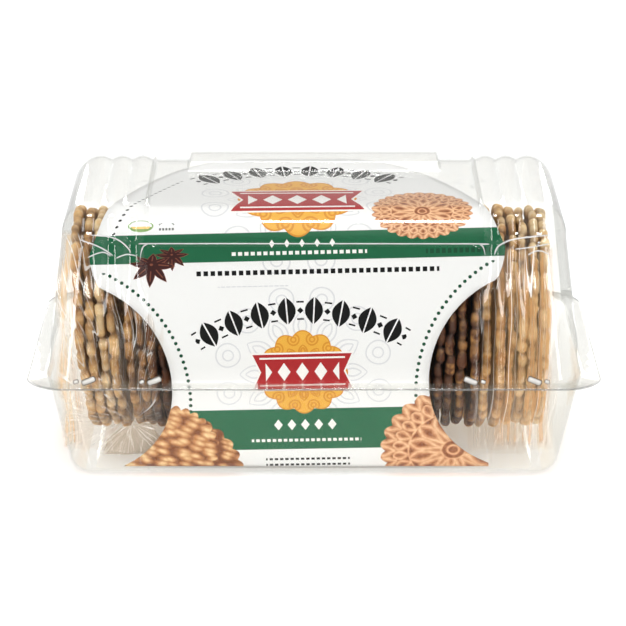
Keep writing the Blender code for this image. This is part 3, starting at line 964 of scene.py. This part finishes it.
ironPattern = {
    # millimetres from the middle: raised rings (radius, width) and loops (count, first, last, width, turn)
    "rings": ((5.6, 0.8), (0.0, 2.0), (26.2, 0.8), (41.0, 0.8)), "lineWidth": 0.75,
    "loops": ((12, 7.0, 25.0, 0.40, 0.0), (24, 27.5, 40.0, 0.38, 0.0), (12, 14.0, 25.0, 0.10, 0.5),
              (24, 31.0, 37.0, 0.16, 0.0)),
}
rimPattern = {
    "lobes": (29, 39), "width": (0.62, 1.38), "size": (0.60, 1.0), "joined": 0.55, "lean": (0.3, 1.0),
    "fineWaves": ((37, 53, 71, 97), 0.22), "wideWaves": ((6, 11), 0.10), "limits": (0.05, 1.1),
}


def cookieTemplate(segments, faceRows):
    # a turned disc with a round rim: its heights are shares of the real ones, set cookie by cookie
    corner = cookieShape["rimRound"]
    rimStart = cookieShape["radius"] - corner
    profile = [(radius, 1.0) for radius in faceRows]
    for turn in range(90, -1, -18):
        profile.append((rimStart + corner * cos(radians(turn)), sin(radians(turn))))
    profile += [(r, -h) for r, h in reversed(profile[:-1])]
    bm = bmesh.new()
    verts = [bm.verts.new((r, 0.0, h * 0.002)) for r, h in profile]
    edges = [bm.edges.new(pair) for pair in zip(verts, verts[1:])]
    bmesh.ops.spin(bm, geom=verts + edges, cent=(0, 0, 0), axis=(0, 0, 1), angle=2 * pi, steps=segments,
                   use_merge=True)
    bmesh.ops.remove_doubles(bm, verts=bm.verts, dist=1e-6)
    bmesh.ops.recalc_face_normals(bm, faces=bm.faces)
    return meshFrom("cookieTemplate", bm)


def ridge(distance, width):
    return np.exp(-(distance / width) ** 2)


def cookieRelief(far, turn):
    # the iron's pattern, 0 on the web and 1 on the ridges; far is in millimetres
    parts = [ridge(far - radius, width) for radius, width in ironPattern["rings"]]
    for count, first, last, width, shift in ironPattern["loops"]:
        sector = 2 * pi / count
        place = turn / sector + shift
        aside = np.abs(place - np.round(place))
        span = np.clip((far - first) / (last - first), 0, 1)
        off = (aside - width * np.sin(pi * span ** 0.85)) * sector * far
        parts.append(ridge(off, ironPattern["lineWidth"]) * (far > first - 0.5) * (far < last + 0.5))
    return np.maximum.reduce(parts)


def waves(rng, turn, counts, size):
    total = np.zeros_like(turn)
    for count in counts:
        total += rng.uniform(0.4, 1.0) * np.sin(count * turn + rng.uniform(0, 2 * pi))
    return total * size / len(counts)


def rimLobes(rng, turn):
    # uneven lobes round the rim: how full each place is, and how far it leans to one side
    shape = rimPattern
    turn = turn % (2 * pi)
    count = int(rng.integers(*shape["lobes"]))
    starts = np.cumsum(rng.uniform(*shape["width"], count))
    starts *= 2 * pi / starts[-1]
    index = np.searchsorted(starts, turn, side="right") % count
    first = np.where(index == 0, 0.0, starts[index - 1])
    place = 2 * (turn - first) / (starts[index] - first) - 1
    bulge = np.sqrt(np.clip(1 - np.abs(place) ** 2.8, 0, 1))
    size = rng.uniform(*shape["size"], count)
    joined = rng.uniform(0.0, shape["joined"], count)     # how full the notch after each lobe is
    notch = np.where(place > 0, joined[index], joined[index - 1])
    beside = np.where(place > 0, size[(index + 1) % count], size[index - 1])
    level = size[index] * (1 - np.abs(place)) + 0.5 * (size[index] + beside) * np.abs(place)
    full = level * (notch + (1 - notch) * bulge)
    full += waves(rng, turn, *shape["fineWaves"]) + waves(rng, turn, *shape["wideWaves"])
    lean = rng.uniform(*shape["lean"], count) * np.where(rng.uniform(size=count) < 0.5, -1, 1)
    return np.clip(full, *shape["limits"]), bulge * lean[index]


def rowPlaces():
    # where each cookie stands off its even place: they lean together in small groups, each turned a little
    rng = random.Random(21)
    shape = cookieShape
    pitch = (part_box("cookie_40")[0].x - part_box("cookie_01")[0].x) / (shape["count"] - 1)
    shifts = []
    for size in shape["groups"]:
        shifts += [(step - 0.5 * (size - 1)) * (shape["groupPitch"] - pitch) for step in range(size)]
    turns = [0.0]
    for _ in shifts[1:]:
        step = rng.uniform(-1, 1) * shape["turnWalk"] / shape["turnLimit"]
        turns.append(max(-1.0, min(1.0, turns[-1] + step)))
    return [(shift, radians(turn * shape["turnLimit"])) for shift, turn in zip(shifts, turns)]


def makeCookie(index, template, material, shift, turned):
    shape = cookieShape
    node = f"cookie_{index + 1:02d}"
    low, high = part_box(node)
    middle = 0.5 * (low + high)
    rng = np.random.default_rng(100 + index)
    mesh = template.copy()
    placed = np.zeros(len(mesh.vertices) * 3, np.float32)
    mesh.vertices.foreach_get("co", placed)
    co = placed.reshape(-1, 3).astype(float)
    far = np.hypot(co[:, 0], co[:, 1])
    turn = np.arctan2(co[:, 1], co[:, 0])
    size = 0.5 * (high.z - low.z) / shape["radius"]
    full, lean = rimLobes(rng, turn)
    relief = cookieRelief(far * 1000, turn)
    nearRim = np.clip((far - shape["lobeStart"]) / (0.0450 - shape["lobeStart"]), 0, 1)
    faceHalf = shape["webHalf"] + (shape["ridgeHalf"] - shape["webHalf"]) * relief
    half = faceHalf * (1 - nearRim) + shape["rimHalf"] * (0.34 + 0.66 * full) * nearRim
    warp = waves(rng, turn, (1, 2, 3), shape["warp"]) * (far / shape["radius"]) ** 2
    aside = lean * shape["lobeShift"] * nearRim + warp
    aside = np.clip(aside, half - shape["limitHalf"], shape["limitHalf"] - half)
    shrunk = (far - nearRim * shape["lobeDepth"] * (1 - full) * (0.45 + 0.55 * nearRim)) * size
    co = np.stack([shrunk * np.cos(turn), shrunk * np.sin(turn), co[:, 2] / 0.002 * half + aside], axis=1)
    mesh.vertices.foreach_set("co", co.astype(np.float32).ravel())
    # the face's recesses and the notches between rim lobes get low values and so the dark web colour:
    # painted shade
    face = (shape["webShade"] + (1 - shape["webShade"]) * relief) * (1 - nearRim)
    setAttribute(mesh, "relief", np.maximum(face, nearRim * full ** 1.5))
    # the random spread is the wafers' own uneven baking; the left end is made a little darker, and the
    # cookies near the card's window edges get painted shade for the card's shadow, strongest on their front
    # rims
    baked = shape["toastSpread"] * rng.uniform() - shape["leftDarkening"] * middle.x
    inner = smooth((shape["cardShadeEnd"] - abs(middle.x)) / shape["cardShadeSpan"])
    fade = max(0.0, 1 - index / (shape["count"] - 1) / shape["leanShare"])
    tilt = radians(shape["leftLean"] * fade + shape["rightLean"] * (1 - fade))
    stand = Matrix.Rotation(pi / 2, 4, "Y") @ Matrix.Rotation(rng.uniform(0, 2 * pi), 4, "Z")
    place = Matrix.Translation(middle + Vector((shift, 0.0, 0.0))) @ Matrix.Rotation(turned, 4, "Z")
    mesh.transform(place @ Matrix.Rotation(-tilt, 4, "Y") @ stand)
    mesh.vertices.foreach_get("co", placed)
    front = np.clip(-placed.reshape(-1, 3)[:, 1] / shape["cardShadeDepth"], 0, 1)
    setAttribute(mesh, "toastAndShade", baked + inner * (shape["cardShadeBase"] + shape["cardShadeFront"] * front))
    makePiece(f"bakedCookie_{index + 1:02d}", mesh, [material], "tray", [node])


def makeCookies(material):
    shape = cookieShape
    fineRows = [shape["faceEnd"] * (step / shape["fineRows"]) ** 0.8 for step in range(shape["fineRows"])]
    coarse = cookieTemplate(shape["segments"][0], shape["coarseRows"])
    fine = cookieTemplate(shape["segments"][1], fineRows)
    for index, (shift, turned) in enumerate(rowPlaces()):
        makeCookie(index, fine if index in (0, shape["count"] - 1) else coarse, material, shift, turned)
    print("cookies done")


waferLook = {
    # how baked it is, 0 to 1, with the card's painted shadow added in, and the colour there; the web colours
    # are painted shade in the face's recesses and the notches between rim lobes
    "top": ((0.0, (254, 230, 184)), (0.30, (240, 198, 136)), (0.60, (202, 146, 80)), (1.0, (100, 54, 20))),
    "webAndGapShade": ((0.0, (120, 76, 40)), (1.0, (40, 18, 8))),
    "toastAndShade": 0.80, "patches": (110.0, 1.6, -0.82), "crust": (420.0, 0.7, -0.35), "crumb": 1100.0,
    "subsurface": (0.0012, 0.0007, 0.0004), "bump": 0.75, "bumpHeight": 0.0008,
}


def makeWafer():
    look = waferLook
    material, tree, shader = newMaterial("bakedWafer")
    place = objectPlace(tree)
    scale, share, shift = look["patches"]
    bakeAndShade = addNoise(tree, place, scale, 3.0, 0.6) * share + shift
    scale, share, shift = look["crust"]
    crust = addNoise(tree, place, scale, 2.0, 0.5)
    crumb = addNoise(tree, place, look["crumb"], 3.0, 0.6)
    bakeAndShade = bakeAndShade + (addAttribute(tree, "toastAndShade") * look["toastAndShade"] + (crust * share + shift))
    webAndGapShade, top = (addRamp(tree, bakeAndShade, [(at, tone(*colour)) for at, colour in look[part]])
                for part in ("webAndGapShade", "top"))
    feed(tree, shader, {"Base Color": addMix(tree, addAttribute(tree, "relief"), webAndGapShade, top),
                        "Roughness": crumb * 0.25 + 0.50, "Subsurface Weight": 0.08,
                        "Subsurface Scale": 1.0, "Subsurface Radius": look["subsurface"],
                        "Normal": addBump(tree, crumb * 0.35 + crust, look["bump"], look["bumpHeight"])})
    return material


# the clear inner wrap: a crumpled end over the cookies at each side, and a folded flap below the left one

wrapEnds = {
    "wrapLeft": {"side": -1, "edgeX": 0.1066, "innerX": 0.0630, "lowAngle": -60.0, "highAngle": 66.0,
                 "fold": 0.00055, "sway": 0.0012, "knotX": -0.0762, "knotAngle": -42.0, "fanned": True,
                 "cloudX": 0.0945, "cloudSpan": 0.0090, "cloud": 0.95},
    "wrapRight": {"side": 1, "edgeX": 0.1010, "innerX": 0.0650, "lowAngle": -60.0, "highAngle": 57.0,
                  "fold": 0.00050, "sway": 0.0003, "knotX": 0.0850, "knotAngle": 95.0, "fanned": False,
                  "cloudX": 0.0700, "cloudSpan": 0.0140, "cloud": 0.55},
}
wrapShape = {
    "radius": 0.0495, "hangAngle": -46.0, "columns": 60, "rows": 130, "softEdge": 0.0050, "swayTurns": 170,
    # each fold's share, and how fast it turns with the knot's turn, the distance and x, from where
    "folds": ((1.0, 31, 60, 0, 0), (0.7, 53, -45, 0, 2), (0.5, 0, 0, 900, 1)), "foldGain": 0.6,
}
flapShape = {"thickness": 0.00005, "cuts": 9, "crumple": 0.0005, "crumpleTurns": 9, "crumpleStart": 0.008,
             "knot": (-0.0762, 0.0238), "rimGlint": 0.45, "edgeGap": 0.002, "middleGap": 0.005}
# the crease lines make bumps and are also drawn white as painted highlights; the streaks are painted
# reflections down the film
filmCreases = ((1.0, 0.0045, 1.0), (2.6, 0.007, 0.7))     # (share of the spread, width, strength)
filmStreakGlints = {"scale": 620.0, "gain": 4.5, "shift": -1.85, "along": (1.0, 0.05, 0.05)}
filmLooks = {
    "wrapFilm": {"haze": 0.03, "creaseGlintShare": 0.60, "spread": 7.0, "milk": tone(250, 216, 168),
                 "thin": tone(230, 175, 117)},
    "flapFilm": {"haze": 0.38, "creaseGlintShare": 0.35, "spread": 2.2, "milk": tone(250, 244, 234),
                 "thin": tone(204, 189, 170)},
}


def fanOut(side, along):
    # turn about the knot and distance from it, for the creases that spread from there
    return atan2(side, along + 1e-6), sqrt(side * side + along * along)


def makeWrap(name, shape, material):
    radius = wrapShape["radius"]
    centre = 0.5 * sum(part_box("cookie_01"), Vector())
    width = shape["edgeX"] - shape["innerX"]
    span = radians(shape["highAngle"] - shape["lowAngle"])
    bm = bmesh.new()
    bmesh.ops.create_grid(bm, x_segments=wrapShape["columns"], y_segments=wrapShape["rows"], size=0.5)
    cloud = bm.verts.layers.float.new("cloud")     # the gathered end, past the last cookie, is thicker
    thin = bm.verts.layers.float.new("thin")     # the film fades out at its borders
    fan = {}
    for vert in bm.verts:
        across, up = vert.co.x + 0.5, vert.co.y + 0.5
        x = shape["side"] * (shape["innerX"] + width * across)
        angle = radians(shape["lowAngle"]) + span * up
        arc = radius * (angle - radians(shape["knotAngle"]))
        aside = x - shape["knotX"]
        turn, far = fanOut(aside, arc) if shape["fanned"] else (14 * aside, 0.2 * arc)
        fan[vert] = (turn, 10 * far)
        folds = sum(share * sin(a * turn + b * far + c * x + d) for share, a, b, c, d in wrapShape["folds"])
        reach = radius + shape["fold"] * max(-1.0, min(1.0, wrapShape["foldGain"] * folds))
        border = min(min(across, 1 - across) * width, min(up, 1 - up) * radius * span)
        vert[thin] = 1 - smooth(border / wrapShape["softEdge"])
        vert[cloud] = shape["cloud"] * smooth((abs(x) - shape["cloudX"]) / shape["cloudSpan"])
        hang = min(0.0, angle - radians(wrapShape["hangAngle"]))     # the film's foot falls straight down
        angle -= hang
        vert.co = (x + shape["sway"] * sin(wrapShape["swayTurns"] * arc), centre.y - reach * cos(angle),
                   centre.z + reach * sin(angle) + radius * hang)
    setLoops(bm, "fan", fan)
    bmesh.ops.recalc_face_normals(bm, faces=bm.faces)
    makePiece(name, bm, [material], "tray")
    print(name, "done")


def makeFlap(material):
    shape = flapShape
    places = [vert.co.copy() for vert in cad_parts["film_flap"].data.vertices]
    middle = sum(places, Vector()) / len(places)
    outline = []
    for place in sorted(places, key=lambda c: atan2(c.z - middle.z, c.x - middle.x)):
        apart = not outline or (outline[-1] - place).length > shape["edgeGap"]
        if apart and (place.xz - middle.xz).length > shape["middleGap"]:
            outline.append(place)
    bm = bmesh.new()
    bmesh.ops.contextual_create(bm, geom=[bm.verts.new(place) for place in outline])
    bmesh.ops.triangulate(bm, faces=bm.faces)
    bmesh.ops.subdivide_edges(bm, edges=bm.edges, cuts=shape["cuts"], use_grid_fill=True)
    cloud = bm.verts.layers.float.new("cloud")     # its cut rim catches the light
    fan = {}
    for vert in bm.verts:
        # the rim is painted whiter: a painted highlight
        vert[cloud] = shape["rimGlint"] if vert.is_boundary else 0.0
        turn, far = fanOut(vert.co.x - shape["knot"][0], shape["knot"][1] - vert.co.z)
        fan[vert] = (turn, 10 * far)
        crumple = shape["crumple"] * min(1.0, far / shape["crumpleStart"])
        vert.co.y += crumple * sin(shape["crumpleTurns"] * turn)
    setLoops(bm, "fan", fan)
    bmesh.ops.recalc_face_normals(bm, faces=bm.faces)
    flap = makePiece("wrapFlap", bm, [material], "tray", ["film_flap"], 25)
    addWall(flap, shape["thickness"], 0.0)
    print("flap done")


def makeFilm(name):
    # thin film: hazy, with painted highlights: white along the creases that fan out over it, and pale
    # streaks down it that are painted reflections
    material, tree, shader = newMaterial(name)
    look = filmLooks[name]
    tree.nodes.remove(shader)
    fan = addNode(tree, "UVMap", uv_map="fan").outputs[0]
    creaseGlint = folds = None
    for spread, width, strength in filmCreases:
        scale = (spread * look["spread"], 1.3, 1.0)
        place = addNode(tree, "Mapping", {"Vector": fan, "Scale": scale}).outputs[0]
        wander = addNoise(tree, place, 1.0, 1.0)
        line = wander.math("COMPARE", 0.5, width) * strength
        creaseGlint = creaseGlint | line if creaseGlint else line
        folds = folds + wander if folds else wander
    cloud = addAttribute(tree, "cloud")
    full = addAttribute(tree, "thin") * -1.0 + 1.0
    mirrored = (addSlant(tree) ** 4.0 * 0.8 + 0.04) * full
    through = addSurface(tree, "Transparent", {"Color": tone(252, 250, 248)})
    surface = addBump(tree, folds, 0.9, 0.0012)
    gloss = addSurface(tree, "Glossy", {"Color": white, "Roughness": 0.10, "Normal": surface})
    streakGlints = addNoise(tree, objectPlace(tree, filmStreakGlints["along"]), filmStreakGlints["scale"], 3.0, 0.6)
    streakGlints = (streakGlints * filmStreakGlints["gain"] + filmStreakGlints["shift"]).clamped()
    dense = ((cloud * 1.8 - 0.40) + streakGlints * -0.75).clamped()
    milkAndGlintColour = addMix(tree, creaseGlint, addMix(tree, dense, look["thin"], look["milk"]), tone(253, 249, 246))
    veil = cloud * (streakGlints * 0.90 + 0.15) + look["haze"]
    amount = (veil + creaseGlint * look["creaseGlintShare"]).clamped() * full
    both = addShaderMix(tree, amount, addShaderMix(tree, mirrored, through, gloss),
                        addSurface(tree, "Diffuse", {"Color": milkAndGlintColour}))
    feed(tree, tree.nodes["Material Output"], {"Surface": both})
    return material


# floor and light

studio = {
    "sky": ((0.30, 0.95), (0.52, 0.92), (0.60, 0.70), (0.67, 0.48), (1.0, 0.42)), "frontDim": 0.95,
    "tableHalf": 6.0, "tableLight": 0.30,
    "lights": (
        # name, place, aimed at, width, height, power: these light the pieces
        ("overhead", (0.0, 0.2, 2.4), (0.0, 0.0, 0.0), 3.0, 3.0, 39.0),
        ("key", (0.0, -2.3, 1.5), (0.0, 0.0, 0.05), 1.6, 1.0, 27.5),
        ("leftFill", (-1.9, -0.5, 0.9), (0.0, 0.0, 0.05), 1.0, 0.8, 9.0),
        ("rightFill", (1.9, -0.5, 0.9), (0.0, 0.0, 0.05), 1.0, 0.8, 9.0),
    ),
    "glints": (
        # the same, for screens that are only seen mirrored in the plastic
        ("frontBox", (0.02, -1.02, 1.48), (0.0, 0.0, 0.10), 1.05, 0.52, 36.0),
        ("leftStrip", (-0.86, -1.24, -0.35), (0.0, 0.0, -0.35), 0.26, 2.2, 11.0),
        ("rightStrip", (0.80, -1.24, -0.35), (0.0, 0.0, -0.35), 0.26, 2.2, 11.0),
        ("leftBack", (-0.50, 1.25, 0.42), (0.0, 0.0, 0.11), 0.08, 0.60, 1.6),
        ("rightBack", (0.50, 1.25, 0.42), (0.0, 0.0, 0.11), 0.08, 0.60, 1.6),
    ),
}


def makeLight(name, place, aim, width, height, power):
    data = bpy.data.lights.new(name, "AREA")
    data.shape = "RECTANGLE"
    data.size, data.size_y = width, height
    data.energy = power
    light = linkObject(name, data)
    light.location = place
    light.rotation_euler = (Vector(aim) - Vector(place)).to_track_quat("-Z", "Y").to_euler()
    light.visible_camera = False
    return light


def makeFloor():
    material, tree, shader = newMaterial("paleFloor")
    cloud = addNoise(tree, objectPlace(tree), 3.0, 2.0)
    feed(tree, shader, {"Base Color": addMix(tree, cloud, tone(240, 240, 240), tone(244, 244, 244)),
                        "Roughness": 0.9, "Emission Color": white,
                        "Emission Strength": studio["tableLight"]})
    bm = bmesh.new()
    bmesh.ops.create_grid(bm, x_segments=8, y_segments=8, size=studio["tableHalf"])
    mesh = meshFrom("floor", bm)
    mesh.materials.append(material)
    floor = linkObject("floor", mesh)
    floor.visible_glossy = False     # the clear walls mirror the dark below the table's edge


def makeStudio():
    scene = bpy.context.scene
    scene.world = bpy.data.worlds.new("studio")
    scene.world.use_nodes = True
    tree = scene.world.node_tree
    way = addNode(tree, "TexCoord").outputs["Generated"]
    split = addNode(tree, "SeparateXYZ", {0: way})
    level = Value(tree, split.outputs[2]) * 0.5 + 0.5
    front = (Value(tree, split.outputs[1]) * (-1 / 0.5) - 0.35 / 0.5).clamped()     # it is dim in front
    sky = addRamp(tree, level, [(place, (value, value, value)) for place, value in studio["sky"]])
    feed(tree, tree.nodes["Background"], {"Color": sky, "Strength": front * -studio["frontDim"] + 1.0})
    for values in studio["lights"]:
        makeLight(*values).visible_glossy = False
    for values in studio["glints"]:
        makeLight(*values).visible_diffuse = False
    makeFloor()
    scene.view_settings.view_transform = "Standard"
    scene.cycles.transparent_max_bounces = 24     # a ray meets many thin clear walls


makeCamera()
makeStudio()
plastic = makeClearPlastic("clearPlastic", plasticLook)
cutEdge = makeMilkyAndGlintPlastic("cutPlastic")
makeTray(makeClearPlastic("trayPlastic", trayLook), cutEdge)
makeLid(plastic, cutEdge)
makeLugs(makeMilkyAndGlintPlastic("lugGlintPlastic"))
makeGlintLines(makeMilkyAndGlintPlastic("glintLinePlastic"))
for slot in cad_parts["hinge_fold"].material_slots:
    slot.material = plastic
makeCard(makePrintedCard(), makeBoard())
makeCookies(makeWafer())
wrapFilm = makeFilm("wrapFilm")
for name, shape in wrapEnds.items():
    makeWrap(name, shape, wrapFilm)
makeFlap(makeFilm("flapFilm"))

print("all pieces done")
